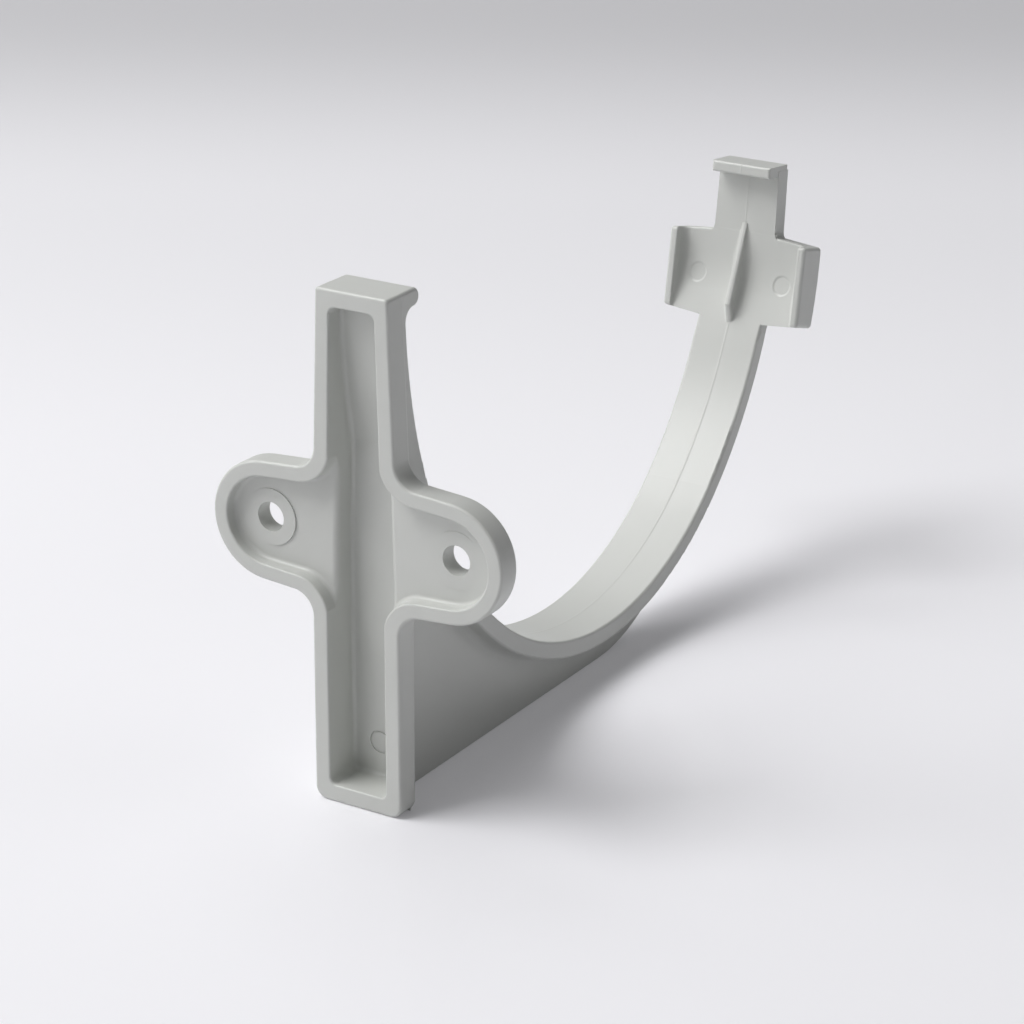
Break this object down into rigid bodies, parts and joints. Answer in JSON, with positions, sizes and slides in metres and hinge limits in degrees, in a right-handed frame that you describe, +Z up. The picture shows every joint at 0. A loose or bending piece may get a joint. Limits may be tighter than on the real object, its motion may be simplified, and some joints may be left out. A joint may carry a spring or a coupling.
{
  "type": "gutter bracket",
  "caption": "One-piece moulded fascia bracket for a half-round gutter: hollow cross-shaped screw plate, curved strap on a web, lipped clip at the front.",
  "frame": {"origin": "centre of the overall box at the level of the plate's foot, which is also the underside of the web", "axes": "+X across the bracket along the gutter's run, +Y forwards from the fascia towards the clip, +Z up"},
  "size_m": [0.0562, 0.1388, 0.0898],
  "materials": {
    "plastic": "fine satin, light grey"
  },
  "bodies": {
    "root": {"gutter_bracket": "plastic"}
  },
  "joints": []
}
